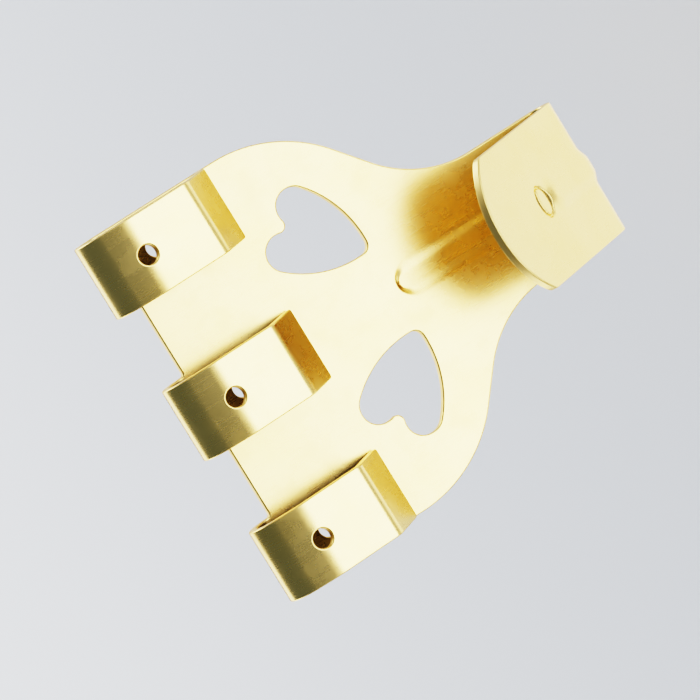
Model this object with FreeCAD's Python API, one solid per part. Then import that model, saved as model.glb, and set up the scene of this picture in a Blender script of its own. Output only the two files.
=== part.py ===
import FreeCAD, Part
import math
import os

from FreeCAD import Vector

# Picture hook with three pin guides, folded from one strip of sheet.
# Millimetres. The wall is the plane Y = 0 and the hook stands in front of it, towards -Y.
# +Z is up the wall and X = 0 is the centre line. Z = 0 is level with the start of the shoulders.

# Sheet
SHEET = 0.8

# Pin guides, folded forward from the top edge of the plate
GUIDE_COUNT = 3
GUIDE_WIDTH = 7.1
GUIDE_PITCH = 14.4
GUIDE_DEPTH = 5.65
GUIDE_FACE_SLOPE = 4.0
GUIDE_FACE_LENGTH = 7.4
GUIDE_FOLD_RADIUS = 0.35
GUIDE_FLANK_ANGLE = 52.0
GUIDE_FOOT_CLEARANCE = 0.12

# Pin holes, punched square through the sheet; each pin slants down towards the wall
PIN_HOLE_DIAMETER = 1.8
PIN_HOLE_DROP = 1.75
PIN_SLANT = 25.0

# Back plate: straight sides, round shoulders and a narrow neck
SIDE_HEIGHT = 12.2
SHOULDER_RADIUS = 13.0
WAIST_RADIUS = 11.0
SHOULDER_SLOPE = 50.0
NECK_WIDTH = 13.2
BEND_DROP = 41.1

# Heart openings, a mirrored pair with their points towards the neck
HEART_POINT_X = 4.3
HEART_POINT_DROP = 20.1
HEART_TILT = 45.0
HEART_LENGTH = 7.6
HEART_LOBE_RADIUS = 1.7
HEART_LOBE_OFFSET = 2.1
HEART_LOBE_RISE = 0.45
HEART_SIDE_RADIUS = 10.0
HEART_POINT_RADIUS = 0.9

# Hook: a tight bend at the foot of the neck and a tongue with an arched end
BEND_RADIUS = 1.0
TONGUE_ANGLE = 39.6
TONGUE_LENGTH = 17.4
TONGUE_ARCH_RISE = 3.4
TONGUE_CORNER_RADIUS = 1.0

# Stiffening rib, pressed outwards so that its flat crown stands proud of the hook's outer side
RIB_WIDTH = 3.9
RIB_CROWN_WIDTH = 2.7
RIB_CROWN_RADIUS = 1.0
RIB_HEIGHT = 0.4
RIB_START_DROP = 20.8
RIB_TONGUE_REACH = 8.0

# How far cutting shapes run past the faces that they cut, and how closely points are matched
OVERCUT = 1.0
MATCH = 1e-6

# Sizes that follow from the ones above
X_AXIS = Vector(1, 0, 0)
PLATE_TOP = SIDE_HEIGHT
PLATE_HALF_WIDTH = (GUIDE_PITCH * (GUIDE_COUNT - 1) + GUIDE_WIDTH) / 2
ROLL_RADIUS = GUIDE_DEPTH / 2
FOLD_OUTER_RADIUS = GUIDE_FOLD_RADIUS + SHEET
BEND_OUTER_RADIUS = BEND_RADIUS + SHEET
BEND_CENTRE = Vector(0, -BEND_OUTER_RADIUS, PLATE_TOP - BEND_DROP + BEND_OUTER_RADIUS)
BEND_TURN = 180.0 - TONGUE_ANGLE
RIB_FLANK_LEAN = math.atan2(RIB_HEIGHT, (RIB_WIDTH - RIB_CROWN_WIDTH) / 2)


def polar(radius, degrees):
    """Return the vector in the side view at an angle from the wall's direction (+Y) towards +Z."""
    angle = math.radians(degrees)
    return Vector(0, radius * math.cos(angle), radius * math.sin(angle))


def line(start, end):
    """Return a straight edge."""
    return Part.LineSegment(start, end).toShape()


def arc(start, middle, end):
    """Return the arc through three points."""
    return Part.Arc(start, middle, end).toShape()


def face_of(edges):
    """Return the flat face inside a closed run of edges."""
    return Part.Face(Part.Wire(edges))


def ring_sector(centre, inner, outer, first, last):
    """Return the side-view face between two arcs about one centre."""
    middle = (first + last) / 2
    outer_arc = arc(*[centre + polar(outer, a) for a in (first, middle, last)])
    inner_arc = arc(*[centre + polar(inner, a) for a in (last, middle, first)])
    end_edge = line(centre + polar(outer, last), centre + polar(inner, last))
    start_edge = line(centre + polar(inner, first), centre + polar(outer, first))
    return face_of([outer_arc, end_edge, inner_arc, start_edge])


def slab(start, along, inward, length):
    """Return the side-view face of a straight run of sheet that starts at a point of its outer face."""
    corners = [start, start + along * length]
    corners.append(corners[1] + inward * SHEET)
    corners.append(start + inward * SHEET)
    return face_of([line(corners[i], corners[(i + 1) % 4]) for i in range(4)])


def widen(face, centre_x, width):
    """Return the solid made by spreading a side-view face to a width about a centre line."""
    shifted = face.copy()
    shifted.translate(Vector(centre_x - width / 2, 0, 0))
    return shifted.extrude(X_AXIS * width)


def plate_outline():
    """Return the front-view face of the back plate, from its top edge down to the bend."""
    neck = NECK_WIDTH / 2
    slope = math.radians(SHOULDER_SLOPE)
    half = slope / 2
    shoulder_centre = PLATE_HALF_WIDTH - SHOULDER_RADIUS
    waist_centre = neck + WAIST_RADIUS
    shoulder_end_x = shoulder_centre + SHOULDER_RADIUS * math.cos(slope)
    waist_start_x = waist_centre - WAIST_RADIUS * math.cos(slope)
    shoulder_end_z = -SHOULDER_RADIUS * math.sin(slope)
    waist_start_z = shoulder_end_z - (shoulder_end_x - waist_start_x) / math.tan(slope)
    waist_end_z = waist_start_z - WAIST_RADIUS * math.sin(slope)

    def side(sign):
        """Return the points of one side, from the top edge down, with X signed."""
        rows = [
            (PLATE_HALF_WIDTH, PLATE_TOP),
            (PLATE_HALF_WIDTH, 0),
            (shoulder_centre + SHOULDER_RADIUS * math.cos(half), -SHOULDER_RADIUS * math.sin(half)),
            (shoulder_end_x, shoulder_end_z),
            (waist_start_x, waist_start_z),
            (waist_centre - WAIST_RADIUS * math.cos(half), waist_end_z + WAIST_RADIUS * math.sin(half)),
            (neck, waist_end_z),
            (neck, BEND_CENTRE.z),
        ]
        return [Vector(sign * x, 0, z) for x, z in rows]

    edges = []
    right = side(1)
    left = side(-1)
    for p in (right, left):
        edges.append(line(p[0], p[1]))
        edges.append(arc(p[1], p[2], p[3]))
        edges.append(line(p[3], p[4]))
        edges.append(arc(p[4], p[5], p[6]))
        edges.append(line(p[6], p[7]))
    edges.append(line(left[0], right[0]))
    edges.append(line(left[7], right[7]))
    return face_of(Part.__sortEdges__(edges))


def circle_centre_inside(centre_a, radius_a, centre_b, radius_b, radius):
    """Return the centre of the circle that holds two smaller circles and touches both inside."""
    reach_a = radius - radius_a
    reach_b = radius - radius_b
    gap = centre_b - centre_a
    span = gap.Length
    along = (reach_a ** 2 - reach_b ** 2 + span ** 2) / (2 * span)
    across = math.sqrt(reach_a ** 2 - along ** 2)
    unit = gap * (1 / span)
    normal = Vector(unit.z, 0, -unit.x)
    return centre_a + unit * along + normal * across


def heart_outline():
    """Return a heart's front-view face with its notch at the origin and its point along +Z."""
    notch_radius = (
        (HEART_LOBE_OFFSET ** 2 + HEART_LOBE_RISE ** 2 - HEART_LOBE_RADIUS ** 2)
        / (2 * (HEART_LOBE_RADIUS - HEART_LOBE_RISE))
    )
    notch_centre = Vector(0, 0, -notch_radius)
    point_centre = Vector(0, 0, HEART_LENGTH - HEART_POINT_RADIUS)
    point_end = Vector(0, 0, HEART_LENGTH)

    lobe = Vector(HEART_LOBE_OFFSET, 0, HEART_LOBE_RISE)
    side_centre = circle_centre_inside(
        point_centre, HEART_POINT_RADIUS, lobe, HEART_LOBE_RADIUS, HEART_SIDE_RADIUS
    )

    def mirrored(point):
        """Return the point on the heart's other side."""
        return Vector(-point.x, 0, point.z)

    def towards(centre, target, radius):
        """Return the point at a radius from a centre, in the direction of a target."""
        return centre + (target - centre).normalize() * radius

    lobe_low = towards(lobe, notch_centre, HEART_LOBE_RADIUS)
    lobe_high = towards(side_centre, lobe, HEART_SIDE_RADIUS)
    lobe_top = lobe - Vector(0, 0, HEART_LOBE_RADIUS)
    side_low = towards(side_centre, point_centre, HEART_SIDE_RADIUS)
    side_middle = towards(side_centre, (lobe_high + side_low) * 0.5, HEART_SIDE_RADIUS)

    edges = [arc(side_low, point_end, mirrored(side_low))]
    edges.append(arc(lobe_high, side_middle, side_low))
    edges.append(arc(lobe_low, lobe_top, lobe_high))
    edges.append(arc(mirrored(lobe_low), Vector(0, 0, 0), lobe_low))
    edges.append(arc(mirrored(lobe_high), mirrored(lobe_top), mirrored(lobe_low)))
    edges.append(arc(mirrored(side_low), mirrored(side_middle), mirrored(lobe_high)))
    return face_of(Part.__sortEdges__(edges))


def heart_cutters():
    """Return the pair of solids that punch the heart openings."""
    right = heart_outline()
    right.translate(Vector(0, 0, -HEART_LENGTH))
    right.rotate(Vector(0, 0, 0), Vector(0, 1, 0), 180 + HEART_TILT)
    right.translate(Vector(HEART_POINT_X, OVERCUT, PLATE_TOP - HEART_POINT_DROP))
    cutter = right.extrude(Vector(0, -(SHEET + 2 * OVERCUT), 0))
    return [cutter, cutter.mirror(Vector(0, 0, 0), X_AXIS)]


def guide_centres():
    """Return the X of each guide's centre line."""
    first = -GUIDE_PITCH * (GUIDE_COUNT - 1) / 2
    return [first + GUIDE_PITCH * i for i in range(GUIDE_COUNT)]


def guide_line():
    """Return the start, direction and inward normal of a guide's front face, as side-view vectors."""
    end = 180.0 + GUIDE_FACE_SLOPE
    start = Vector(0, -ROLL_RADIUS, PLATE_TOP) + polar(ROLL_RADIUS, end)
    return start, polar(1, end + 90), polar(1, end + 180)


def guide(centre_x):
    """Return one pin guide: a round roll, a flat face, a fold and a flank that ends at the plate."""
    roll_centre = Vector(0, -ROLL_RADIUS, PLATE_TOP)
    face_start, face_along, face_inward = guide_line()
    fold_start = face_start + face_along * GUIDE_FACE_LENGTH
    fold_centre = fold_start + face_inward * FOLD_OUTER_RADIUS
    first = 180.0 + GUIDE_FACE_SLOPE
    last = 180.0 + GUIDE_FLANK_ANGLE
    flank_start = fold_centre + polar(FOLD_OUTER_RADIUS, last)
    flank_along = polar(1, last + 90)
    flank_inward = polar(1, last + 180)
    inner_end_y = -(SHEET + GUIDE_FOOT_CLEARANCE)
    flank_length = (inner_end_y - (flank_start + flank_inward * SHEET).y) / flank_along.y

    faces = [
        ring_sector(roll_centre, ROLL_RADIUS - SHEET, ROLL_RADIUS, 0.0, first),
        slab(face_start, face_along, face_inward, GUIDE_FACE_LENGTH),
        ring_sector(fold_centre, GUIDE_FOLD_RADIUS, FOLD_OUTER_RADIUS, first, last),
        slab(flank_start, flank_along, flank_inward, flank_length),
    ]
    runs = [widen(face, centre_x, GUIDE_WIDTH) for face in faces]
    return runs[0].multiFuse(runs[1:]).removeSplitter()


def pin_hole_cutters(centre_x):
    """Return the cutters of a guide's two holes: square through its face, and through the plate behind."""
    face_start, face_along, face_inward = guide_line()
    hole_level = PLATE_TOP - PIN_HOLE_DROP
    distance = (face_start.z - hole_level) / math.cos(math.radians(GUIDE_FACE_SLOPE))
    face_point = face_start + face_along * distance
    sheet_middle = face_point + face_inward * (SHEET / 2)
    run = -SHEET / 2 - sheet_middle.y
    plate_point = Vector(centre_x, OVERCUT, sheet_middle.z - run * math.tan(math.radians(PIN_SLANT)))
    radius = PIN_HOLE_DIAMETER / 2
    length = SHEET + 2 * OVERCUT
    front = Part.makeCylinder(
        radius, length, face_point - face_inward * OVERCUT + X_AXIS * centre_x, face_inward
    )
    back = Part.makeCylinder(radius, length, plate_point, Vector(0, -1, 0))
    return [front, back]


def tongue():
    """Return the tongue: parallel sides and an arched end with rounded corners."""
    half = NECK_WIDTH / 2
    side_length = TONGUE_LENGTH - TONGUE_ARCH_RISE
    corners = [Vector(-half, 0, 0), Vector(half, 0, 0)]
    corners.append(Vector(half, 0, side_length))
    corners.append(Vector(-half, 0, side_length))
    crown = Vector(0, 0, TONGUE_LENGTH)
    blank = face_of([
        line(corners[0], corners[1]),
        line(corners[1], corners[2]),
        arc(corners[2], crown, corners[3]),
        line(corners[3], corners[0]),
    ]).extrude(Vector(0, SHEET, 0))
    corner_edges = [
        edge for edge in blank.Edges
        if all(abs(vertex.Z - side_length) < MATCH for vertex in edge.Vertexes)
        and edge.BoundBox.XLength < MATCH
    ]
    blank = blank.makeFillet(TONGUE_CORNER_RADIUS, corner_edges)
    blank.rotate(Vector(0, 0, 0), X_AXIS, TONGUE_ANGLE)
    blank.translate(BEND_CENTRE + polar(BEND_OUTER_RADIUS, -BEND_TURN))
    return blank


def rib_run(offset, root):
    """Return the rib's path swept with its section, offset into the sheet and rooted below its foot."""
    half_turn = RIB_FLANK_LEAN / 2
    slimming = offset * math.tan(half_turn)
    foot = RIB_WIDTH / 2 - slimming
    crown = RIB_CROWN_WIDTH / 2 - slimming
    radius = RIB_CROWN_RADIUS - offset
    tangent = radius * math.tan(half_turn)
    top = RIB_HEIGHT - offset
    end_setback = RIB_WIDTH / 2
    rows = [
        (foot, -offset - root),
        (foot, -offset),
        (crown + tangent * math.cos(RIB_FLANK_LEAN), top - tangent * math.sin(RIB_FLANK_LEAN)),
        (crown - tangent + radius * math.sin(half_turn), top - radius + radius * math.cos(half_turn)),
        (crown - tangent, top),
    ]

    def side(at, outward, sign):
        """Return the section's points on one side, from the root to the crown."""
        return [at + X_AXIS * (sign * x) + outward * height for x, height in rows]

    def climb(points):
        """Return the edges through one side's points."""
        return [line(points[0], points[1]), line(points[1], points[2]), arc(*points[2:])]

    def section(at, outward):
        """Return the whole section at a point of the outer face."""
        right = side(at, outward, 1)
        left = side(at, outward, -1)
        edges = climb(right) + climb(left) + [line(right[0], left[0]), line(right[4], left[4])]
        return face_of(Part.__sortEdges__(edges))

    def round_end(at, outward):
        """Return the round end about a point of the outer face."""
        right = side(at, outward, 1)
        low = at + outward * rows[0][1]
        high = at + outward * top
        edges = climb(right) + [line(right[4], high), line(high, low), line(low, right[0])]
        return face_of(Part.__sortEdges__(edges)).revolve(at, outward, 360)

    neck_out = Vector(0, 1, 0)
    neck_foot = Vector(0, 0, BEND_CENTRE.z)
    neck_end = Vector(0, 0, PLATE_TOP - RIB_START_DROP - end_setback)
    tongue_out = polar(1, -BEND_TURN)
    tongue_foot = BEND_CENTRE + tongue_out * BEND_OUTER_RADIUS
    tongue_along = polar(1, -BEND_TURN - 90)
    tongue_end = tongue_foot + tongue_along * (RIB_TONGUE_REACH - end_setback)
    runs = [
        section(neck_foot, neck_out).extrude(neck_end - neck_foot),
        section(neck_foot, neck_out).revolve(BEND_CENTRE, X_AXIS, -BEND_TURN),
        section(tongue_foot, tongue_out).extrude(tongue_end - tongue_foot),
        round_end(neck_end, neck_out),
        round_end(tongue_end, tongue_out),
    ]
    return runs[0].multiFuse(runs[1:])


def picture_hook():
    """Return the whole hook, one folded sheet."""
    plate = plate_outline().extrude(Vector(0, -SHEET, 0))
    bend_face = ring_sector(BEND_CENTRE, BEND_RADIUS, BEND_OUTER_RADIUS, -BEND_TURN, 0.0)
    bend = widen(bend_face, 0, NECK_WIDTH)
    centres = guide_centres()
    ridge = rib_run(0.0, SHEET / 2)
    groove = rib_run(SHEET, BEND_RADIUS / 2)
    body = plate.multiFuse([bend, tongue(), ridge] + [guide(x) for x in centres])
    cutters = heart_cutters() + [groove]
    for x in centres:
        cutters.extend(pin_hole_cutters(x))
    return body.cut(cutters).removeSplitter()


os.makedirs("parts", exist_ok=True)
hook = picture_hook()
hook.exportStep("parts/picture_hook.step")
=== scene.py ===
"""A brass picture hook folded from one sheet: its form, its plating and the studio round it."""

from __future__ import annotations

import logging
import math
from dataclasses import dataclass, field
from enum import Enum

import bpy
import numpy as np
from mathutils import Matrix, Vector
from mathutils.geometry import delaunay_2d_cdt

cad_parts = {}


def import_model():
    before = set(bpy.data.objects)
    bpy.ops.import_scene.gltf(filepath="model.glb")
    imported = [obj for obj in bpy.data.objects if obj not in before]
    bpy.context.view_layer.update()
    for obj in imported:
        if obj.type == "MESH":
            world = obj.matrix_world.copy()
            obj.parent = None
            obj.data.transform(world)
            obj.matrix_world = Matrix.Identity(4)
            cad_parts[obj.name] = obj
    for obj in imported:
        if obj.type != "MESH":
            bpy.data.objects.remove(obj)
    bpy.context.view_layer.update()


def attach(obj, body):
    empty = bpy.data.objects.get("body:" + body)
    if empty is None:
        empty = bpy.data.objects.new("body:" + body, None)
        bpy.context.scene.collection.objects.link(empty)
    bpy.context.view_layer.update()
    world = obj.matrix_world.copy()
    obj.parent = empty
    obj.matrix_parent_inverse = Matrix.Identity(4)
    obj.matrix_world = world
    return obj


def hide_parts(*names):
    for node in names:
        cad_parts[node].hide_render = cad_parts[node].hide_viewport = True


MM = 0.001
TINY = 1e-6
SAME_POINT = 1e-5
FLAT_STEP = 0.40
MIX_FACTOR, MIX_FIRST, MIX_SECOND, MIX_RESULT = 0, 6, 7, 2
LOG = logging.getLogger("picture_hook")


class Side(Enum):
    """The two faces of the sheet."""

    OUTER = "outer"
    INNER = "inner"


class Backing(Enum):
    """Whether a loop of the blank's outline holds metal inside it or lies round a hole."""

    METAL_INSIDE = 1
    METAL_OUTSIDE = -1


def arc_points(centre: tuple[float, float], radius: float, first: float, last: float,
               step: float) -> np.ndarray:
    """Sample an arc.

    Args:
        centre: The arc's centre.
        radius: Its radius in millimetres.
        first: The start angle in degrees.
        last: The end angle in degrees.
        step: The longest distance between two points, in millimetres.

    Returns:
        The points from start to end, both ends among them.
    """
    turn = math.radians(last - first)
    count = max(4, math.ceil(abs(turn) * radius / step))
    angles = math.radians(first) + turn * np.linspace(0.0, 1.0, count + 1)
    return np.stack([centre[0] + radius * np.cos(angles), centre[1] + radius * np.sin(angles)], axis=1)


def straight_points(start: tuple[float, float], end: tuple[float, float], step: float) -> np.ndarray:
    """Sample a straight line.

    Args:
        start: The first point.
        end: The last point.
        step: The longest distance between two points, in millimetres.

    Returns:
        The points from start to end, both ends among them.
    """
    a, b = np.array(start, float), np.array(end, float)
    count = max(1, math.ceil(float(np.linalg.norm(b - a)) / step))
    return a + (b - a) * np.linspace(0.0, 1.0, count + 1)[:, None]


def joined(parts: list[np.ndarray]) -> np.ndarray:
    """Join runs of points into one line and drop the points that repeat.

    Args:
        parts: The runs, in order.

    Returns:
        The joined points.
    """
    points = np.concatenate(parts)
    keep = np.ones(len(points), bool)
    keep[1:] = np.linalg.norm(np.diff(points, axis=0), axis=1) > SAME_POINT
    return points[keep]


@dataclass(frozen=True)
class Run:
    """A stretch of the sheet's section, straight or bent to an arc.

    Attributes:
        length: Its length along the sheet's outer face, in millimetres.
        turn: How far the outward normal turns along it, in degrees.
        step: How far apart the mesh has points along it.
    """

    length: float
    turn: float
    step: float


@dataclass(frozen=True)
class GuideFold:
    """How a pin guide leaves the plate: over its roll, down its face and back along its flank.

    Attributes:
        rise: The straight rise above the plate's top edge.
        roll_radius: Outer radius of the roll.
        roll: How far the roll turns, in degrees.
        slack_length: Length of the nearly straight stretch under the roll.
        slack: How far that stretch turns, in degrees.
        ease_length: Length of the soft bend into the face.
        ease: How far that bend turns, in degrees.
        face_length: Length of the flat face.
        fold_radius: Outer radius of the fold under the face.
        fold: How far the fold turns, in degrees.
        flank_length: Length of the flank.
    """

    rise: float = 0.205
    roll_radius: float = 2.62
    roll: float = 166.0
    slack_length: float = 1.83
    slack: float = 3.0
    ease_length: float = 1.3
    ease: float = 15.0
    face_length: float = 5.401
    fold_radius: float = 1.15
    fold: float = 48.0
    flank_length: float = 4.38

    def runs(self) -> tuple[Run, ...]:
        """List the guide's runs, from the plate's top edge to the flank's end."""
        return (
            Run(self.rise, turn=0.0, step=0.13),
            Run(self.roll_radius * math.radians(self.roll), self.roll, step=0.25),
            Run(self.slack_length, self.slack, step=0.20),
            Run(self.ease_length, self.ease, step=0.11),
            Run(self.face_length, turn=0.0, step=FLAT_STEP),
            Run(self.fold_radius * math.radians(self.fold), self.fold, step=0.12),
            Run(self.flank_length, turn=0.0, step=FLAT_STEP),
        )


@dataclass(frozen=True)
class HookBend:
    """How the neck turns into the tongue.

    Attributes:
        radius: Outer radius of the bend.
        turn: How far it turns, in degrees; it is below nought, as it turns the other way than the roll.
        tongue_length: Length of the straight tongue.
    """

    radius: float = 1.8
    turn: float = -140.4
    tongue_length: float = 17.4

    def runs(self) -> tuple[Run, ...]:
        """List the runs, from the neck's foot to the tongue's end."""
        return (
            Run(self.radius * math.radians(-self.turn), self.turn, step=0.18),
            Run(self.tongue_length, turn=0.0, step=FLAT_STEP),
        )


@dataclass(frozen=True)
class Section:
    """The sheet's section from the side: up over the guides, and down round the hook.

    Attributes:
        top: Height of the plate's top edge.
        foot: Height at which the hook's bend starts.
        above: The runs that follow the plate upwards.
        below: The runs that follow the plate downwards.
    """

    top: float = 12.2
    foot: float = -27.1
    above: tuple[Run, ...] = GuideFold().runs()
    below: tuple[Run, ...] = HookBend().runs()

    @property
    def highest(self) -> float:
        """The distance along the sheet at which the guides end."""
        return self.top + sum(run.length for run in self.above)

    @property
    def tongue_start(self) -> float:
        """The distance along the sheet at which the bend ends and the tongue starts."""
        return self.foot - self.below[0].length

    @property
    def lowest(self) -> float:
        """The distance along the sheet at which the tongue ends."""
        return self.foot - sum(run.length for run in self.below)

    def at(self, along: np.ndarray) -> tuple[np.ndarray, np.ndarray]:
        """Find the outer face.

        Args:
            along: Distances along the sheet, equal to the height on the plate.

        Returns:
            The points (Y, Z) of the outer face and the outward normals there.
        """
        point = np.stack([np.zeros_like(along), along], axis=1)
        normal = np.stack([np.ones_like(along), np.zeros_like(along)], axis=1)
        for runs, start, sign in ((self.above, self.top, 1.0), (self.below, self.foot, -1.0)):
            place, angle, passed = np.array([0.0, start]), 0.0, 0.0
            for number, run in enumerate(runs):
                distance = sign * (along - start) - passed
                last = number == len(runs) - 1
                inside = (distance > 0) & ((distance <= run.length) | last)
                here = distance[inside]
                turned = angle + math.radians(run.turn) * here / run.length
                out = np.stack([np.cos(turned), np.sin(turned)], axis=1)
                base = np.array([math.cos(angle), math.sin(angle)])
                forward = sign * np.array([-math.sin(angle), math.cos(angle)])
                if run.turn:
                    radius = run.length / abs(math.radians(run.turn))
                    centre = place - base * radius
                    point[inside] = centre + out * radius
                    angle += math.radians(run.turn)
                    place = centre + np.array([math.cos(angle), math.sin(angle)]) * radius
                else:
                    point[inside] = place + here[:, None] * forward
                    place = place + forward * run.length
                normal[inside] = out
                passed += run.length
        return point, normal

    def levels(self) -> np.ndarray:
        """List the distances along the sheet at which the mesh has rows of points."""
        parts = [np.arange(self.foot, self.top, FLAT_STEP)]
        for runs, start, sign in ((self.above, self.top, 1.0), (self.below, self.foot, -1.0)):
            passed = 0.0
            for run in runs:
                count = max(1, math.ceil(run.length / run.step))
                parts.append(start + sign * (passed + run.length * np.arange(count + 1) / count))
                passed += run.length
        return np.unique(np.round(np.concatenate(parts), 5))


@dataclass(frozen=True)
class PunchMark:
    """The fine oval line that the rib's punch leaves on the tongue's outer face.

    Attributes:
        along: Distance along the sheet of its middle.
        half_width: Half of its size across the tongue.
        half_length: Half of its size along the tongue.
        line: Half of the line's width.
        depth: Depth of the line.
        inner_ovals: Sizes of the mesh's ovals inside the line, against the line's own.
        line_ovals: The first size, the end and the step of the closer ovals along the line.
        oval_points: How many mesh points an oval of the line's size has.
        clearing: Size of the oval in which the sheet's other mesh points give way.
    """

    along: float
    half_width: float = 1.40
    half_length: float = 0.85
    line: float = 0.15
    depth: float = 0.28
    inner_ovals: tuple[float, ...] = (0.15, 0.3, 0.45)
    line_ovals: tuple[float, float, float] = (0.56, 1.46, 0.055)
    oval_points: int = 84
    clearing: float = 1.52

    def ring(self, points: np.ndarray) -> np.ndarray:
        """Return how far out points (across, along) lie, with one on the oval itself."""
        return np.hypot(points[:, 0] / self.half_width, (points[:, 1] - self.along) / self.half_length)

    def lift(self, across: np.ndarray, along: np.ndarray) -> np.ndarray:
        """Find how far the line sinks the face.

        Args:
            across: Distances from the centre line.
            along: Distances along the sheet.

        Returns:
            The push in millimetres, which is negative.
        """
        ring = np.maximum(self.ring(np.stack([across, along], axis=1)), TINY)
        away = np.abs(ring - 1.0) * np.hypot(across, along - self.along) / ring
        return -self.depth * np.exp(-((away / self.line) ** 2))

    def net(self) -> np.ndarray:
        """Return mesh points (across, along) on ovals that follow the line."""
        ovals = []
        for ring in np.concatenate([self.inner_ovals, np.arange(*self.line_ovals)]):
            angles = np.linspace(0.0, 2 * math.pi, max(8, round(self.oval_points * ring)), endpoint=False)
            ovals.append(np.stack([
                ring * self.half_width * np.cos(angles),
                self.along + ring * self.half_length * np.sin(angles),
            ], axis=1))
        return np.concatenate(ovals)


@dataclass(frozen=True)
class PressedRib:
    """The stiffening rib, pressed outwards along the neck, the bend and the tongue.

    Attributes:
        upper_end: Distance along the sheet of its end on the neck.
        lower_end: Distance along the sheet of its end on the tongue.
        bend: Distance along the sheet of the middle of the bend.
        mark: The mark at its lower end.
        width: Width of the ridge at its foot, on the outer face.
        slimming: How much narrower each half is on the inner face.
        flank: Width of its gentle sides.
        upper_flank: Width of the steeper slope round its upper end.
        height: How far it stands proud at the bend and on the tongue.
        neck_height: How far it stands proud at its upper end, where it fades.
        reach: The length over which it fades up the neck.
        crown_rows: Distances across of the mesh's rows on its crown.
        side_rows: The first distance, the end and the step of the closer rows on its sides.
        foot_row: Distance across of the row beside its foot.
        end_step: The longest distance between two mesh points round its ends.
        row_step: The distance between the mesh's rows along it.
    """

    upper_end: float
    lower_end: float
    bend: float
    mark: PunchMark
    width: float = 3.9
    slimming: float = 0.12
    flank: float = 1.45
    upper_flank: float = 0.34
    height: float = 0.38
    neck_height: float = 0.19
    reach: float = 7.0
    crown_rows: tuple[float, ...] = (0.0, 0.25, 0.5)
    side_rows: tuple[float, float, float] = (0.70, 2.17, 0.10)
    foot_row: float = 2.35
    end_step: float = 0.14
    row_step: float = 0.2

    @classmethod
    def laid_on(cls, section: Section, upper_end: float = -8.35, on_tongue: float = 8.0,
                mark_on_tongue: float = 8.6) -> "PressedRib":
        """Lay a rib along a sheet.

        Args:
            section: The sheet's section.
            upper_end: Distance along the sheet of its end on the neck.
            on_tongue: How far it reaches onto the tongue.
            mark_on_tongue: How far onto the tongue the middle of its mark lies.

        Returns:
            The rib.
        """
        return cls(
            upper_end=upper_end,
            lower_end=section.tongue_start - on_tongue,
            bend=(section.foot + section.tongue_start) / 2,
            mark=PunchMark(section.tongue_start - mark_on_tongue),
        )

    @property
    def centres(self) -> tuple[float, float]:
        """The distances along the sheet of the centres of the round ends, upper and lower."""
        return self.upper_end - self.width / 2, self.lower_end + self.width / 2

    def lift(self, across: np.ndarray, along: np.ndarray, side: Side) -> np.ndarray:
        """Find how far the rib pushes a face outwards.

        Args:
            across: Distances from the centre line.
            along: Distances along the sheet.
            side: The face.

        Returns:
            The push in millimetres.
        """
        foot = self.width / 2 - (0.0 if side is Side.OUTER else self.slimming)
        upper, lower = self.centres
        distance = np.hypot(across, np.maximum(np.maximum(along - upper, lower - along), 0.0))
        facing = np.clip((along - upper) / np.maximum(distance, TINY), 0.0, 1.0)
        flank = self.flank + (self.upper_flank - self.flank) * facing ** 2
        rise = np.clip((foot - distance) / flank, 0.0, 1.0)
        fade = np.clip((along - self.bend) / self.reach, 0.0, 1.0)
        height = self.height + (self.neck_height - self.height) * fade ** 2 * (3.0 - 2.0 * fade)
        push = height * rise ** 2 * (3.0 - 2.0 * rise)
        return push + self.mark.lift(across, along) if side is Side.OUTER else push

    def net(self) -> tuple[np.ndarray, np.ndarray]:
        """Place mesh points that follow the rib's section.

        Returns:
            The distances across of the rows along the rib, and the points (across, along) of its ends.
        """
        rows = np.concatenate([self.crown_rows, np.arange(*self.side_rows), [self.foot_row]])
        ends = []
        for centre, way in zip(self.centres, (1.0, -1.0)):
            for radius in rows[1:]:
                count = max(7, math.ceil(math.pi * radius / self.end_step))
                angles = np.linspace(0.0, math.pi, count + 1)
                ends.append(np.stack([
                    radius * np.cos(angles),
                    centre + way * radius * np.sin(angles),
                ], axis=1))
        return np.concatenate([-rows[:0:-1], rows]), np.concatenate(ends)


@dataclass(frozen=True)
class PressRipple:
    """The slight unevenness that pressing and plating leave in thin sheet.

    Attributes:
        height: The size of the waves in millimetres.
        shortest: The shortest wave in millimetres.
        longest: The longest wave in millimetres.
        count: How many waves are summed.
        seed: The seed of their directions.
    """

    height: float = 0.011
    shortest: float = 4.5
    longest: float = 16.0
    count: int = 14
    seed: int = 11

    def lift(self, across: np.ndarray, along: np.ndarray) -> np.ndarray:
        """Find the waves' push.

        Args:
            across: Distances from the centre line.
            along: Distances along the sheet.

        Returns:
            The push in millimetres.
        """
        random = np.random.default_rng(self.seed)
        total = np.zeros_like(across)
        for _ in range(self.count):
            length = random.uniform(self.shortest, self.longest)
            heading = random.uniform(0.0, math.pi)
            phase = random.uniform(0.0, 2 * math.pi)
            way = across * math.cos(heading) + along * math.sin(heading)
            total += length / self.longest * np.sin(2 * math.pi * way / length + phase)
        return self.height * total / math.sqrt(self.count)


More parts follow.
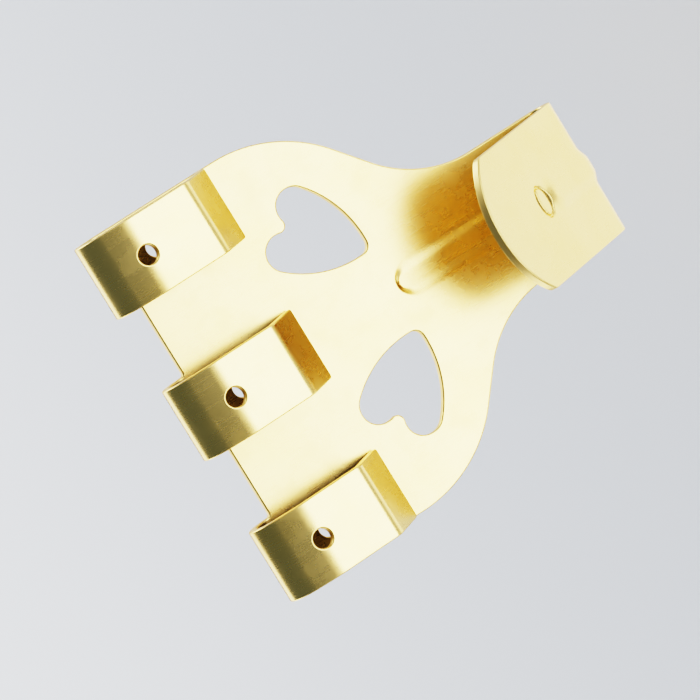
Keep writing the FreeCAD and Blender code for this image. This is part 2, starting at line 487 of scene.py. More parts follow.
@dataclass(frozen=True)
class HeartOpening:
    """A heart cut through the plate, point down towards the neck.

    Attributes:
        point_x: Distance of its point from the centre line.
        point_z: Height of its point.
        tilt: How far its axis leans outwards, in degrees.
        length: From its notch to its point.
        lobe_radius: Radius of a lobe.
        lobe_offset: Distance of a lobe's centre from the heart's axis.
        lobe_rise: Distance of a lobe's centre below the notch.
        side_radius: Radius of its bulging sides.
        point_radius: Radius of its point.
    """

    point_x: float = 4.3
    point_z: float = -7.9
    tilt: float = 45.0
    length: float = 7.6
    lobe_radius: float = 1.7
    lobe_offset: float = 2.1
    lobe_rise: float = 0.45
    side_radius: float = 10.0
    point_radius: float = 0.9

    def half(self, step: float) -> np.ndarray:
        """Trace half of the heart, with its notch at the origin and its point along +Y.

        Args:
            step: The longest distance between two points.

        Returns:
            The points from the point to the notch.
        """
        notch_radius = (self.lobe_offset ** 2 + self.lobe_rise ** 2 - self.lobe_radius ** 2) / (
            2 * (self.lobe_radius - self.lobe_rise)
        )
        lobe = np.array([self.lobe_offset, self.lobe_rise])
        tip = np.array([0.0, self.length - self.point_radius])
        reach_tip = self.side_radius - self.point_radius
        reach_lobe = self.side_radius - self.lobe_radius
        gap = lobe - tip
        span = float(np.linalg.norm(gap))
        part = (reach_tip ** 2 - reach_lobe ** 2 + span ** 2) / (2 * span)
        unit = gap / span
        aside = np.array([unit[1], -unit[0]]) * math.sqrt(reach_tip ** 2 - part ** 2)
        side = min(tip + unit * part - aside, tip + unit * part + aside, key=lambda place: place[0])

        def heading(centre: np.ndarray, target: np.ndarray) -> float:
            """Return the direction from one point to another, in degrees."""
            return math.degrees(math.atan2(target[1] - centre[1], target[0] - centre[0]))

        to_tip = heading(side, tip)
        to_lobe = heading(side, lobe)
        notch = np.array([0.0, -notch_radius])
        to_notch = heading(lobe, notch)
        parts = [
            arc_points((tip[0], tip[1]), self.point_radius, 90.0, to_tip, step),
            arc_points((side[0], side[1]), self.side_radius, to_tip, to_lobe, step),
            arc_points((lobe[0], lobe[1]), self.lobe_radius, to_lobe, to_notch, step),
            arc_points((notch[0], notch[1]), notch_radius, heading(notch, lobe), 90.0, step),
        ]
        return joined(parts)

    def loop(self, mirrored: bool, step: float) -> np.ndarray:
        """Trace the opening on the plate.

        Args:
            mirrored: True for the heart on the left.
            step: The longest distance between two points.

        Returns:
            The points (X, Z) of a closed loop.
        """
        half = self.half(step)
        other = half[::-1] * np.array([-1.0, 1.0])
        outline = joined([half, other])[:-1]
        outline[:, 1] -= self.length
        angle = math.radians(180.0 + self.tilt)
        x = outline[:, 0] * math.cos(angle) + outline[:, 1] * math.sin(angle)
        z = -outline[:, 0] * math.sin(angle) + outline[:, 1] * math.cos(angle)
        points = np.stack([x + self.point_x, z + self.point_z], axis=1)
        return points * np.array([-1.0, 1.0]) if mirrored else points


@dataclass(frozen=True)
class Loop:
    """A closed line of the blank's outline, with the metal on its left.

    Attributes:
        points: Its points (across, along).
        outwards: The unit directions out of the metal at the points.
        mitre: How much longer an offset is at each point than its distance.
    """

    points: np.ndarray
    outwards: np.ndarray
    mitre: np.ndarray

    @classmethod
    def around(cls, points: np.ndarray, backing: Backing) -> "Loop":
        """Make a loop from points in either order.

        Args:
            points: The closed line's points, the first not repeated.
            backing: Where the metal lies.

        Returns:
            The loop.
        """
        ahead = np.roll(points, -1, axis=0)
        area = float(np.sum(points[:, 0] * ahead[:, 1] - ahead[:, 0] * points[:, 1]))
        if area * backing.value < 0:
            points = points[::-1].copy()
        edge = np.roll(points, -1, axis=0) - points
        edge /= np.linalg.norm(edge, axis=1)[:, None]
        normal = np.stack([edge[:, 1], -edge[:, 0]], axis=1)
        both = normal + np.roll(normal, 1, axis=0)
        both /= np.linalg.norm(both, axis=1)[:, None]
        return cls(points, both, 1.0 / np.sum(both * normal, axis=1))

    def inset(self, distance: float) -> np.ndarray:
        """Return the points moved into the metal by a distance."""
        return self.points - self.outwards * (distance * self.mitre)[:, None]


@dataclass(frozen=True)
class Blank:
    """The flat blank that the hook is folded from, in distances across and along the sheet.

    Attributes:
        section: The sheet's section.
        guide_width: Width of a pin guide.
        guide_pitch: Distance between two guides' centre lines.
        neck_half: Half of the neck's width.
        shoulder_radius: Radius of the round shoulders.
        waist_radius: Radius of the hollow below them.
        slope: The steepest lean of the sides from the vertical, in degrees.
        arch_rise: Rise of the arched end of the tongue.
        tongue_corner: Radius of the tongue's corners.
        tab_corner: Radius of the guides' corners.
        tab_root: Radius where a guide meets the plate's top edge.
        hole_radius: Radius of the pin holes.
        face_hole: Distance along the sheet of the holes in the guides' faces.
        plate_hole: Height of the holes in the plate.
        heart: The heart opening.
        step: The longest distance between two points of the outline.
        heart_step: The longest distance between two points of a heart.
        hole_step: The longest distance between two points of a pin hole.
        shade_margin: How far a guide's painted shade reaches past its sides.
        shade_edge: The width over which the painted shade sets in at the sides.
        shade_start: Height above which the painted shade sets in.
        shade_rise: The height over which it does so.
    """

    section: Section
    guide_width: float = 7.1
    guide_pitch: float = 14.4
    neck_half: float = 6.6
    shoulder_radius: float = 13.0
    waist_radius: float = 11.0
    slope: float = 50.0
    arch_rise: float = 3.4
    tongue_corner: float = 1.0
    tab_corner: float = 0.28
    tab_root: float = 0.30
    hole_radius: float = 0.9
    face_hole: float = 22.683
    plate_hole: float = 8.270
    heart: HeartOpening = field(default_factory=HeartOpening)
    step: float = 0.30
    heart_step: float = 0.18
    hole_step: float = 0.135
    shade_margin: float = 0.1
    shade_edge: float = 0.5
    shade_start: float = 1.5
    shade_rise: float = 1.5

    def right_side(self) -> np.ndarray:
        """Trace the right half of the outline, from the tongue's crown to the middle guide's end."""
        half = self.guide_pitch + self.guide_width / 2
        slope = math.radians(self.slope)
        crown, top, end = self.section.lowest, self.section.top, self.section.highest
        arch = (self.neck_half ** 2 + self.arch_rise ** 2) / (2 * self.arch_rise)
        corner_x = self.neck_half - self.tongue_corner
        corner_drop = math.sqrt((arch - self.tongue_corner) ** 2 - corner_x ** 2)
        corner_s = crown + arch - corner_drop
        lean = math.degrees(math.atan2(-corner_drop, corner_x))
        shoulder_x = half - self.shoulder_radius
        waist_x = self.neck_half + self.waist_radius
        shoulder_end = (
            shoulder_x + self.shoulder_radius * math.cos(slope),
            -self.shoulder_radius * math.sin(slope),
        )
        waist_start_x = waist_x - self.waist_radius * math.cos(slope)
        waist_start = (waist_start_x, shoulder_end[1] - (shoulder_end[0] - waist_start_x) / math.tan(slope))
        waist_s = waist_start[1] - self.waist_radius * math.sin(slope)
        inner = half - self.guide_width
        middle = self.guide_width / 2
        corner, root, step = self.tab_corner, self.tab_root, self.step
        fine = step / 4
        side = fine * 3
        return joined([
            arc_points((0.0, crown + arch), arch, -90.0, lean, step),
            arc_points((corner_x, corner_s), self.tongue_corner, lean, 0.0, fine * 2),
            straight_points((self.neck_half, corner_s), (self.neck_half, waist_s), side),
            arc_points((waist_x, waist_s), self.waist_radius, 180.0, 180.0 - self.slope, step),
            straight_points(waist_start, shoulder_end, step),
            arc_points((shoulder_x, 0.0), self.shoulder_radius, -self.slope, 0.0, step),
            straight_points((half, 0.0), (half, end - corner), side),
            arc_points((half - corner, end - corner), corner, 0.0, 90.0, fine),
            straight_points((half - corner, end), (inner + corner, end), step),
            arc_points((inner + corner, end - corner), corner, 90.0, 180.0, fine),
            straight_points((inner, end - corner), (inner, top + root), side),
            arc_points((inner - root, top + root), root, 0.0, -90.0, fine),
            straight_points((inner - root, top), (middle + root, top), step),
            arc_points((middle + root, top + root), root, -90.0, -180.0, fine),
            straight_points((middle, top + root), (middle, end - corner), side),
            arc_points((middle - corner, end - corner), corner, 0.0, 90.0, fine),
            straight_points((middle - corner, end), (0.0, end), step),
        ])

    def painted_guide_shade(self, flat: np.ndarray, side: Side) -> np.ndarray:
        """Find how much painted shade points take in the hollows of the guides.

        Args:
            flat: Points (across, along).
            side: The face that they lie on.

        Returns:
            Values from nought in the open to one deep inside a guide.
        """
        if side is Side.OUTER:
            return np.zeros(len(flat))
        # Painted shade: the inner face in each guide's hollow is marked for a darker colour, fading in at
        # the guide's sides and above the plate's top edge.
        column = np.abs((flat[:, 0] + self.guide_pitch / 2) % self.guide_pitch - self.guide_pitch / 2)
        past = self.guide_width / 2 + self.shade_margin - column
        inside = np.clip(past / self.shade_edge, 0.0, 1.0)
        return inside * np.clip((flat[:, 1] - self.shade_start) / self.shade_rise, 0.0, 1.0)

    def loops(self) -> list[Loop]:
        """Trace every closed line of the outline."""
        right = self.right_side()
        left = right[::-1] * np.array([-1.0, 1.0])
        loops = [Loop.around(joined([right, left])[:-1], Backing.METAL_INSIDE)]
        for mirrored in (False, True):
            loops.append(Loop.around(self.heart.loop(mirrored, self.heart_step), Backing.METAL_OUTSIDE))
        for centre in (-self.guide_pitch, 0.0, self.guide_pitch):
            for level in (self.face_hole, self.plate_hole):
                circle = arc_points((centre, level), self.hole_radius, 0.0, 360.0, self.hole_step)[:-1]
                loops.append(Loop.around(circle, Backing.METAL_OUTSIDE))
        return loops


@dataclass(frozen=True)
class PlatedBrass:
    """Bright plating over pressed sheet, with faint rolling lines and handling scratches.

    Attributes:
        colour: The plating's colour.
        deep: The slightly deeper tone that it drifts to.
        dull: The darker colour mixed in on the inner face inside the guides, as painted shade.
        roughness: Roughness of the clean plating.
        haze: How much rougher the dull patches are.
        edge_haze: How much rougher the cut edges are.
        peel: Strength of the plating's fine unevenness.
        lines: Strength of the rolling lines.
        scratches: Strength of the handling scratches.
        patch_scale: How fine the drift between the tones is, in spots a metre.
        haze_scale: How fine the dull patches are.
        peel_scale: How fine the unevenness is.
        line_scale: How fine the rolling lines are across and along the sheet, in spots a millimetre.
        scratch_scale: How fine the scratches are across their way.
        scratch_ways: Each set of scratches' turn in radians, and how fine they are along it.
        grain: How rough all the patterns are.
        tone_range: The part of its pattern over which the tone drifts.
        haze_range: The part of its pattern over which the plating dulls.
        line_range: The part of their pattern over which the rolling lines dull it.
        scratch_range: The part of its pattern that shows as a scratch.
        line_haze: How much rougher the rolling lines are.
        peel_depth: Depth of the unevenness in millimetres.
        line_depth: Depth of the rolling lines in millimetres.
        scratch_depth: Depth of the scratches in millimetres.
    """

    colour: tuple[float, float, float] = (0.92, 0.64, 0.23)
    deep: tuple[float, float, float] = (0.90, 0.61, 0.20)
    dull: tuple[float, float, float] = (0.42, 0.32, 0.15)
    roughness: float = 0.26
    haze: float = 0.05
    edge_haze: float = 0.12
    peel: float = 0.03
    lines: float = 0.05
    scratches: float = 0.03
    patch_scale: float = 160.0
    haze_scale: float = 420.0
    peel_scale: float = 900.0
    line_scale: tuple[float, float] = (7.0, 0.22)
    scratch_scale: float = 12.0
    scratch_ways: tuple[tuple[float, float], ...] = ((0.35, 0.16), (1.25, 0.12), (2.2, 0.14), (2.85, 0.10))
    grain: float = 0.55
    tone_range: tuple[float, float] = (0.35, 0.75)
    haze_range: tuple[float, float] = (0.42, 0.78)
    line_range: tuple[float, float] = (0.45, 0.80)
    scratch_range: tuple[float, float] = (0.70, 0.80)
    line_haze: float = 0.025
    peel_depth: float = 0.02
    line_depth: float = 0.012
    scratch_depth: float = 0.008

    def material(self) -> bpy.types.Material:
        """Build the finish as shader nodes.

        Returns:
            The material.
        """
        material = bpy.data.materials.new("bright_brass_plating")
        material.use_nodes = True
        nodes, links = material.node_tree.nodes, material.node_tree.links
        shader = nodes["Principled BSDF"]
        shader.inputs["Metallic"].default_value = 1.0

        sheet = nodes.new("ShaderNodeUVMap")
        sheet.uv_map = "sheet"
        solid = nodes.new("ShaderNodeTexCoord")

        def noise(source: bpy.types.NodeSocket, scale: tuple[float, float, float], detail: float,
                  turn: float = 0.0) -> bpy.types.NodeSocket:
            """Return a noise pattern on coordinates that are turned and then stretched."""
            mapping = nodes.new("ShaderNodeMapping")
            mapping.vector_type = "TEXTURE"
            mapping.inputs["Scale"].default_value = tuple(1.0 / part for part in scale)
            mapping.inputs["Rotation"].default_value = (0.0, 0.0, turn)
            links.new(source, mapping.inputs["Vector"])
            texture = nodes.new("ShaderNodeTexNoise")
            texture.inputs["Scale"].default_value = 1.0
            texture.inputs["Detail"].default_value = detail
            texture.inputs["Roughness"].default_value = self.grain
            links.new(mapping.outputs["Vector"], texture.inputs["Vector"])
            return texture.outputs["Fac"]

        def ranged(source: bpy.types.NodeSocket, taken: tuple[float, float], low: float = 0.0,
                   high: float = 1.0) -> bpy.types.NodeSocket:
            """Return a value that goes smoothly from low to high over the range that is taken."""
            node = nodes.new("ShaderNodeMapRange")
            node.interpolation_type = "SMOOTHSTEP"
            node.inputs["From Min"].default_value = taken[0]
            node.inputs["From Max"].default_value = taken[1]
            node.inputs["To Min"].default_value = low
            node.inputs["To Max"].default_value = high
            links.new(source, node.inputs["Value"])
            return node.outputs["Result"]

        def even(scale: float) -> tuple[float, float, float]:
            """Return a scale that is the same all ways."""
            return scale, scale, scale

        # Colour: two close tones, and painted shade inside the guides
        patches = noise(solid.outputs["Object"], even(self.patch_scale), 3.0)
        mix = nodes.new("ShaderNodeMix")
        mix.data_type = "RGBA"
        mix.inputs[MIX_FIRST].default_value = (*self.colour, 1.0)
        mix.inputs[MIX_SECOND].default_value = (*self.deep, 1.0)
        links.new(ranged(patches, self.tone_range), mix.inputs[MIX_FACTOR])
        # Painted shade: a mask mixes the inner face inside the guides towards a darker colour.
        painted_shade_mask = nodes.new("ShaderNodeAttribute")
        painted_shade_mask.attribute_name = "painted_shade_mask"
        dim = nodes.new("ShaderNodeMix")
        dim.data_type = "RGBA"
        dim.inputs[MIX_SECOND].default_value = (*self.dull, 1.0)
        links.new(mix.outputs[MIX_RESULT], dim.inputs[MIX_FIRST])
        links.new(painted_shade_mask.outputs["Fac"], dim.inputs[MIX_FACTOR])
        links.new(dim.outputs[MIX_RESULT], shader.inputs["Base Color"])

        # Roughness: duller patches, rolling lines and cut edges
        dull = noise(solid.outputs["Object"], even(self.haze_scale), 4.0)
        fibres = noise(sheet.outputs["UV"], (*self.line_scale, 1.0), 3.0)
        add = nodes.new("ShaderNodeMath")
        add.operation = "ADD"
        hazy = ranged(dull, self.haze_range, self.roughness, self.roughness + self.haze)
        links.new(hazy, add.inputs[0])
        links.new(ranged(fibres, self.line_range, 0.0, self.line_haze), add.inputs[1])
        cut = nodes.new("ShaderNodeAttribute")
        cut.attribute_name = "cut_edge"
        total = nodes.new("ShaderNodeMath")
        total.operation = "MULTIPLY_ADD"
        total.inputs[1].default_value = self.edge_haze
        links.new(cut.outputs["Fac"], total.inputs[0])
        links.new(add.outputs[0], total.inputs[2])
        links.new(total.outputs[0], shader.inputs["Roughness"])

        # Fine relief: unevenness, rolling lines and scratches, one on the other
        normal: bpy.types.NodeSocket | None = None
        uneven = noise(solid.outputs["Object"], even(self.peel_scale), 2.0)
        patterns = [(uneven, self.peel, self.peel_depth), (fibres, self.lines, self.line_depth)]
        for turn, stretch in self.scratch_ways:
            line = noise(sheet.outputs["UV"], (self.scratch_scale, stretch, 1.0), 0.0, turn)
            patterns.append((ranged(line, self.scratch_range), self.scratches, self.scratch_depth))
        for pattern, strength, depth in patterns:
            bump = nodes.new("ShaderNodeBump")
            bump.inputs["Strength"].default_value = strength
            bump.inputs["Distance"].default_value = depth * MM
            links.new(pattern, bump.inputs["Height"])
            if normal is not None:
                links.new(normal, bump.inputs["Normal"])
            normal = bump.outputs["Normal"]
        links.new(normal, shader.inputs["Normal"])
        return material


@dataclass
class SheetNet:
    """The points of the sheet's mesh, gathered stretch by stretch.

    Attributes:
        vertices: Their places, in millimetres.
        normals: The unit directions out of the metal.
        pattern: Their distances across and along the sheet, which the finish follows.
        worn: From nought on a face to one in the middle of a cut edge.
        painted_shade: How much painted shade each point takes, from nought in the open to one deep inside a
            guide.
        total: How many points there are.
    """

    vertices: list[np.ndarray] = field(default_factory=list)
    normals: list[np.ndarray] = field(default_factory=list)
    pattern: list[np.ndarray] = field(default_factory=list)
    worn: list[np.ndarray] = field(default_factory=list)
    painted_shade: list[np.ndarray] = field(default_factory=list)
    total: int = 0

    def add(self, vertices: np.ndarray, normals: np.ndarray, pattern: np.ndarray, worn: float,
            painted_shade: np.ndarray) -> int:
        """Add points.

        Args:
            vertices: Their places.
            normals: Their directions.
            pattern: Their distances across and along the sheet.
            worn: How far all of them lie on a cut edge.
            painted_shade: How much painted shade each takes inside a guide.

        Returns:
            The number of the first of them.
        """
        first = self.total
        self.vertices.append(vertices)
        self.normals.append(normals)
        self.pattern.append(pattern)
        self.worn.append(np.full(len(vertices), worn))
        self.painted_shade.append(painted_shade)
        self.total += len(vertices)
        return first

    def mesh(self, name: str, faces: list[tuple[int, ...]]) -> bpy.types.Mesh:
        """Make the mesh, with its normals and what the finish reads.

        Args:
            name: The mesh's name.
            faces: The faces, as numbers of points.

        Returns:
            The mesh.
        """
        mesh = bpy.data.meshes.new(name)
        mesh.from_pydata((np.concatenate(self.vertices) * MM).tolist(), [], faces)
        mesh.update()
        uv = mesh.uv_layers.new(name="sheet")
        corner = np.zeros(len(mesh.loops), np.int32)
        mesh.loops.foreach_get("vertex_index", corner)
        uv.data.foreach_set("uv", np.concatenate(self.pattern)[corner].astype(np.float32).ravel())
        # The second attribute carries the painted shade inside the guides to the material.
        for label, values in (("cut_edge", self.worn), ("painted_shade_mask", self.painted_shade)):
            attribute = mesh.attributes.new(label, "FLOAT", "POINT")
            attribute.data.foreach_set("value", np.concatenate(values).astype(np.float32))
        mesh.shade_smooth()
        mesh.normals_split_custom_set_from_vertices(np.concatenate(self.normals).tolist())
        return mesh


@dataclass
class FoldedHook:
    """The whole hook: one sheet with rounded cut edges, folded along its section.

    Attributes:
        blank: The flat blank.
        rib: The stiffening rib.
        ripple: The sheet's unevenness.
        sheet: Thickness of the sheet.
        edge_radius: How far the cut edges are rounded.
        edge_turns: The directions, in degrees, of the mesh's rows round half of a cut edge.
        across_step: How far apart the mesh has points across the sheet.
        closest_rows: How near together two rows of points may lie.
        clearance: How near the outline a point may lie.
    """

    blank: Blank
    rib: PressedRib
    ripple: PressRipple = field(default_factory=PressRipple)
    sheet: float = 0.8
    edge_radius: float = 0.15
    edge_turns: tuple[float, ...] = (25.0, 50.0, 72.0, 90.0)
    across_step: float = 0.42
    closest_rows: float = 0.09
    clearance: float = 0.15

    def surface(self, flat: np.ndarray, depth: np.ndarray, side: Side) -> np.ndarray:
        """Fold points of the blank into place.

        Args:
            flat: Points (across, along).
            depth: Their depths below the outer face.
            side: The face that they follow.

        Returns:
            The points in space, in millimetres.
        """
        across, along = flat[:, 0], flat[:, 1]
        point, normal = self.blank.section.at(along)
        push = self.rib.lift(across, along, side) + self.ripple.lift(across, along) - depth
        return np.column_stack([across, point + normal * push[:, None]])

    def directions(self, flat: np.ndarray, side: Side) -> tuple[np.ndarray, np.ndarray, np.ndarray]:
        """Find the folded sheet's directions across, along and outwards.

        Args:
            flat: Points (across, along).
            side: The face.

        Returns:
            Three arrays of unit vectors.
        """
        depth = np.full(len(flat), 0.0 if side is Side.OUTER else self.sheet)
        nudge = 0.01
        steps = []
        for way in ((nudge, 0.0), (0.0, nudge)):
            ahead = self.surface(flat + np.array(way), depth, side)
            behind = self.surface(flat - np.array(way), depth, side)
            steps.append((ahead - behind) / np.linalg.norm(ahead - behind, axis=1)[:, None])
        outwards = np.cross(steps[1], steps[0])
        outwards /= np.linalg.norm(outwards, axis=1)[:, None]
        return steps[0], steps[1], outwards

    def grid(self, rings: list[np.ndarray]) -> np.ndarray:
        """Scatter the points inside the outline.

        Args:
            rings: The closed lines that bound the flat part of the sheet.

        Returns:
            The points (across, along) that lie in the metal and clear of the lines.
        """
        half = self.blank.guide_pitch + self.blank.guide_width / 2
        upper, lower = self.rib.centres
        rib_columns, rib_ends = self.rib.net()
        margin = rib_columns[-1] + self.across_step / 2
        columns = np.arange(-half, half, self.across_step)
        beside = columns[np.abs(columns) > margin]
        rib_levels = np.arange(lower, upper, self.rib.row_step)
        levels = np.unique(np.concatenate([self.blank.section.levels(), rib_levels]).round(5))
        kept = [levels[0]]
        for level in levels[1:]:
            if level - kept[-1] > self.closest_rows:
                kept.append(level)
        rows = [rib_ends]
        for level in kept:
            past = max(level - upper, lower - level, 0.0)
            if past == 0.0:
                across = np.concatenate([beside, rib_columns])
            else:
                across = columns[np.hypot(columns, past) > margin]
            rows.append(np.stack([across, np.full_like(across, level)], axis=1))
        mark = self.rib.mark
        points = np.concatenate(rows)
        points = np.concatenate([points[mark.ring(points) > mark.clearing], mark.net()])
        bound = np.concatenate(rings)
        near = np.full(len(points), np.inf)
        shares = 40
        for part in np.array_split(bound, shares):
            gap = points[:, None, :] - part[None, :, :]
            near = np.minimum(near, np.min(np.sum(gap ** 2, axis=2), axis=1))
        return points[(near > self.clearance ** 2) & self.in_metal(points, rings)]

    @staticmethod
    def in_metal(points: np.ndarray, rings: list[np.ndarray]) -> np.ndarray:
        """Test which points lie inside the outline and outside the holes.

        Args:
            points: Points (across, along).
            rings: The outline's closed lines.

        Returns:
            One truth value for each point.
        """
        inside = np.zeros(len(points), bool)
        for ring in rings:
            ahead = np.roll(ring, -1, axis=0)
            for a, b in zip(ring, ahead):
                if a[1] == b[1]:
                    continue
                spans = (a[1] > points[:, 1]) != (b[1] > points[:, 1])
                cross = a[0] + (points[:, 1] - a[1]) * (b[0] - a[0]) / (b[1] - a[1])
                inside ^= spans & (points[:, 0] < cross)
        return inside

    def fill(self, flat: np.ndarray, rings: list[np.ndarray], starts: list[int]) -> np.ndarray:
        """Fill the flat part of the sheet with triangles.

        Args:
            flat: All points (across, along), those of the closed lines first.
            rings: The closed lines that bound it.
            starts: The number of each line's first point.

        Returns:
            The triangles, as numbers of points.
        """
        edges = [
            (start + i, start + (i + 1) % len(ring))
            for start, ring in zip(starts, rings)
            for i in range(len(ring))
        ]
        found = delaunay_2d_cdt([Vector(p) for p in flat], edges, [], 0, TINY, True)
        origin = [ids[0] if ids else -1 for ids in found[3]]
        triangles = np.array([[origin[i] for i in face] for face in found[2]])
        triangles = triangles[(triangles >= 0).all(axis=1)]
        return triangles[self.in_metal(flat[triangles].mean(axis=1), rings)]

    def edge_rows(self, net: SheetNet, loop: Loop, side: Side) -> list[int]:
        """Add the rows of points that round a cut edge on one side of the sheet.

        Args:
            net: The net that takes the points.
            loop: The cut edge.
            side: The side.

        Returns:
            The number of each row's first point, from the face to the middle of the edge.
        """
        sign = 1.0 if side is Side.OUTER else -1.0
        firsts = []
        for turn in self.edge_turns:
            sine, cosine = math.sin(math.radians(turn)), math.cos(math.radians(turn))
            ring = loop.inset(self.edge_radius * (1.0 - sine))
            depth = self.edge_radius * (1.0 - cosine)
            depths = np.full(len(ring), depth if side is Side.OUTER else self.sheet - depth)
            across, along, out = self.directions(ring, side)
            edgewise = across * loop.outwards[:, :1] + along * loop.outwards[:, 1:]
            direction = out * sign * cosine + edgewise * sine
            direction /= np.linalg.norm(direction, axis=1)[:, None]
            # The last value passed is the painted shade, fading out round the cut edge.
            firsts.append(net.add(
                self.surface(ring, depths, side),
                direction,
                ring + loop.outwards * (sign * depth + self.edge_radius),
                sine,
                self.blank.painted_guide_shade(ring, side) * (1.0 - sine),
            ))
        return firsts

    def build(self) -> bpy.types.Object:
        """Build the hook's mesh.

        Returns:
            The hook as one closed object in the frame of the part.
        """
        loops = self.blank.loops()
        rings = [loop.inset(self.edge_radius) for loop in loops]
        starts = [0, *np.cumsum([len(ring) for ring in rings])[:-1].tolist()]
        flat = np.concatenate([*rings, self.grid(rings)])
        triangles = self.fill(flat, rings, starts)

        net = SheetNet()
        faces: list[tuple[int, ...]] = []
        rows: dict[Side, list[list[int]]] = {}
        for side in Side:
            sign = 1.0 if side is Side.OUTER else -1.0
            depths = np.full(len(flat), 0.0 if side is Side.OUTER else self.sheet)
            # The last value passed is the painted shade inside the guides.
            base = net.add(
                self.surface(flat, depths, side),
                self.directions(flat, side)[2] * sign,
                flat,
                0.0,
                self.blank.painted_guide_shade(flat, side),
            )
            order = triangles if side is Side.INNER else triangles[:, ::-1]
            faces += [tuple(int(i) + base for i in face) for face in order]
            rows[side] = [
                [base + first, *self.edge_rows(net, loop, side)] for first, loop in zip(starts, loops)
            ]
        for loop, outer, inner in zip(loops, rows[Side.OUTER], rows[Side.INNER]):
            count = len(loop.points)
            chain = outer + inner[::-1]
            for low, high in zip(chain, chain[1:]):
                for i in range(count):
                    j = (i + 1) % count
                    faces.append((low + i, low + j, high + j, high + i))

        hook = bpy.data.objects.new("folded_hook", net.mesh("hook_sheet", faces))
        bpy.context.scene.collection.objects.link(hook)
        return hook

    def dress(self, hook: bpy.types.Object, finish: PlatedBrass) -> None:
        """Give the hook its finish and its place in the part.

        Args:
            hook: The hook's object.
            finish: Its finish.
        """
        hook.data.materials.append(finish.material())
        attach(hook, "root")
        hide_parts("picture_hook")


@dataclass(frozen=True)
class Lamp:
    """A soft rectangular light that points at the hook.

    Attributes:
        name: Its name.
        place: Where it stands, in metres.
        width: Its width in metres.
        height: Its height in metres.
        power: Its power in watts.
        aim: The point that it faces, where that isn't the hook.
    """

    name: str
    place: tuple[float, float, float]
    width: float
    height: float
    power: float
    aim: tuple[float, float, float] | None = None

    def build(self, target: Vector) -> None:
        """Stand the lamp in place, turned to its own aim or to a target."""
        towards = target if self.aim is None else Vector(self.aim)
        data = bpy.data.lights.new(self.name, "AREA")
        data.shape = "RECTANGLE"
        data.size = self.width
        data.size_y = self.height
        data.energy = self.power
        lamp = bpy.data.objects.new(self.name, data)
        lamp.location = self.place
        lamp.rotation_euler = (towards - Vector(self.place)).to_track_quat("-Z", "Y").to_euler()
        lamp.visible_camera = False
        bpy.context.scene.collection.objects.link(lamp)


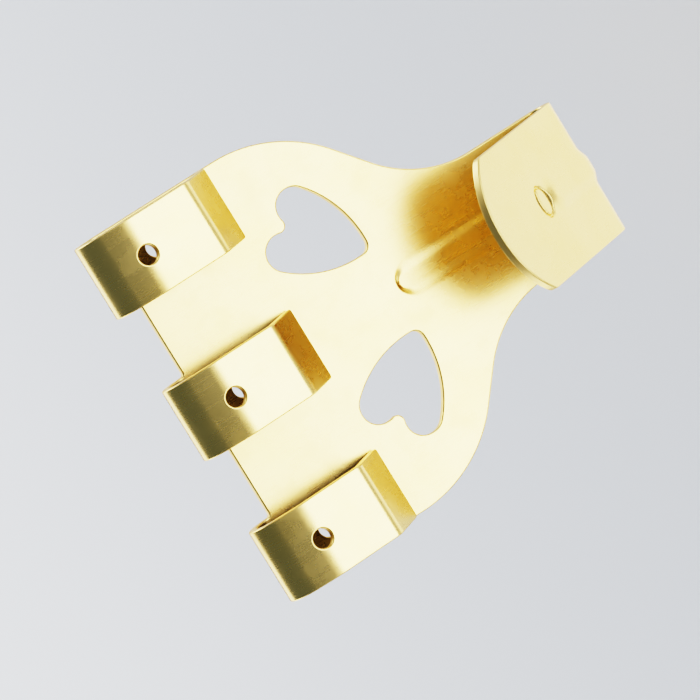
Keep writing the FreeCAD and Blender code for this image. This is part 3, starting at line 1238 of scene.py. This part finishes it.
@dataclass(frozen=True)
class Studio:
    """The pale floor, the soft lights and the camera.

    Attributes:
        centre: The point that the camera looks at, in metres.
        floor_level: Height of the floor in metres.
        lift: The camera's height above the hook, in degrees.
        swing: How far the camera stands to the hook's right, in degrees.
        roll: How far the hook is turned in the picture, in degrees.
        distance: The camera's distance in metres.
        field: The width that the picture takes in at the hook, in metres.
        sensor: The width of the camera's sensor, in millimetres.
        nearest: The least distance that the camera sees, in metres.
        exposure: The picture's exposure, in stops.
        floor_half: Half of the floor's width in metres.
        floor_colour: The floor's colour.
        floor_roughness: The floor's roughness.
        backdrop_colour: What the camera itself sees past the floor.
        room: The room's brightness by direction, from straight down at nought to straight up at one.
        lamps: The lights.
    """

    centre: tuple[float, float, float] = (-0.00224, -0.00272, -0.00122)
    floor_level: float = -0.0445
    lift: float = 15.0
    swing: float = 5.8
    roll: float = 123.0
    distance: float = 0.42
    field: float = 0.0611
    sensor: float = 36.0
    nearest: float = 0.01
    exposure: float = 0.92
    floor_half: float = 2.0
    floor_colour: tuple[float, float, float] = (0.80, 0.81, 0.83)
    floor_roughness: float = 0.9
    backdrop_colour: tuple[float, float, float] = (0.62, 0.63, 0.65)
    room: tuple[tuple[float, tuple[float, float, float]], ...] = (
        (0.0, (0.75, 0.75, 0.75)),
        (0.49, (0.80, 0.80, 0.80)),
        (0.51, (0.068, 0.088, 0.112)),
        (0.56, (0.063, 0.083, 0.110)),
        (1.0, (0.060, 0.080, 0.108)),
    )
    lamps: tuple[Lamp, ...] = (
        Lamp("front_floor_panel", (0.0, -0.18, -0.0435), 0.36, 0.22, 0.62, aim=(0.0, -0.18, 1.0)),
        Lamp("near_floor_card", (0.0, -0.002, -0.0435), 0.10, 0.035, 0.0072, aim=(0.0, -0.002, 1.0)),
        Lamp("back_softbox", (0.0, 0.75, 0.50), 1.20, 0.50, 2.2),
        Lamp("right_softbox", (0.75, 0.60, 0.42), 0.5, 0.5, 3.2),
        Lamp("left_softbox", (-0.75, 0.60, 0.42), 0.5, 0.5, 2.2),
    )

    def floor(self) -> None:
        """Lay the floor."""
        mesh = bpy.data.meshes.new("floor")
        half = self.floor_half
        corners = [(-half, -half), (half, -half), (half, half), (-half, half)]
        mesh.from_pydata([(x, y, self.floor_level) for x, y in corners], [], [(0, 1, 2, 3)])
        floor = bpy.data.objects.new("floor", mesh)
        bpy.context.scene.collection.objects.link(floor)
        material = bpy.data.materials.new("pale_floor")
        material.use_nodes = True
        shader = material.node_tree.nodes["Principled BSDF"]
        shader.inputs["Base Color"].default_value = (*self.floor_colour, 1.0)
        shader.inputs["Roughness"].default_value = self.floor_roughness
        mesh.materials.append(material)

    def world(self) -> None:
        """Set the room: pale below the horizon and dim above it, with a plain backdrop for the camera."""
        world = bpy.data.worlds.new("room")
        world.use_nodes = True
        bpy.context.scene.world = world
        nodes, links = world.node_tree.nodes, world.node_tree.links
        nodes.clear()
        output = nodes.new("ShaderNodeOutputWorld")
        background = nodes.new("ShaderNodeBackground")
        coordinates = nodes.new("ShaderNodeTexCoord")
        separate = nodes.new("ShaderNodeSeparateXYZ")
        links.new(coordinates.outputs["Generated"], separate.inputs["Vector"])
        ramp = nodes.new("ShaderNodeValToRGB")
        first, *between, last = self.room
        for element, (position, shade) in zip(ramp.color_ramp.elements, (first, last)):
            element.position = position
            element.color = (*shade, 1.0)
        for position, shade in between:
            ramp.color_ramp.elements.new(position).color = (*shade, 1.0)
        half = 0.5
        scale = nodes.new("ShaderNodeMath")
        scale.operation = "MULTIPLY_ADD"
        scale.inputs[1].default_value = half
        scale.inputs[2].default_value = half
        links.new(separate.outputs["Z"], scale.inputs[0])
        links.new(scale.outputs[0], ramp.inputs["Fac"])
        links.new(ramp.outputs["Color"], background.inputs["Color"])
        background.inputs["Strength"].default_value = 1.0
        backdrop = nodes.new("ShaderNodeBackground")
        backdrop.inputs["Color"].default_value = (*self.backdrop_colour, 1.0)
        path = nodes.new("ShaderNodeLightPath")
        mix = nodes.new("ShaderNodeMixShader")
        links.new(path.outputs["Is Camera Ray"], mix.inputs["Fac"])
        links.new(background.outputs["Background"], mix.inputs[1])
        links.new(backdrop.outputs["Background"], mix.inputs[2])
        links.new(mix.outputs["Shader"], output.inputs["Surface"])

    def camera(self) -> None:
        """Stand the camera where it sees the hook as the photograph does."""
        lift, swing, roll = (math.radians(a) for a in (self.lift, self.swing, self.roll))
        back = Vector((
            math.sin(swing) * math.cos(lift),
            -math.cos(swing) * math.cos(lift),
            math.sin(lift),
        ))
        level_right = Vector((math.cos(swing), math.sin(swing), 0.0))
        level_up = back.cross(level_right)
        right = level_right * math.cos(roll) - level_up * math.sin(roll)
        up = level_right * math.sin(roll) + level_up * math.cos(roll)
        data = bpy.data.cameras.new("camera")
        data.sensor_width = self.sensor
        data.lens = data.sensor_width * self.distance / self.field
        data.clip_start = self.nearest
        camera = bpy.data.objects.new("camera", data)
        camera.matrix_world = Matrix.Translation(Vector(self.centre) + back * self.distance) @ Matrix(
            (right, up, back)
        ).transposed().to_4x4()
        bpy.context.scene.collection.objects.link(camera)
        bpy.context.scene.camera = camera

    def build(self) -> None:
        """Build the whole studio."""
        self.floor()
        self.world()
        for lamp in self.lamps:
            lamp.build(Vector(self.centre))
        self.camera()
        view = bpy.context.scene.view_settings
        view.view_transform = "Filmic"
        view.look = "Very High Contrast"
        view.exposure = self.exposure


def main() -> None:
    """Build the hook, its finish and the studio."""
    logging.basicConfig(level=logging.INFO, format="%(name)s: %(message)s")
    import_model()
    section = Section()
    folded = FoldedHook(Blank(section), PressedRib.laid_on(section))
    hook = folded.build()
    folded.dress(hook, PlatedBrass())
    LOG.info("hook: %d vertices, %d faces", len(hook.data.vertices), len(hook.data.polygons))
    Studio().build()
    LOG.info("studio: floor, lights and camera")


if __name__ == "__main__":
    main()
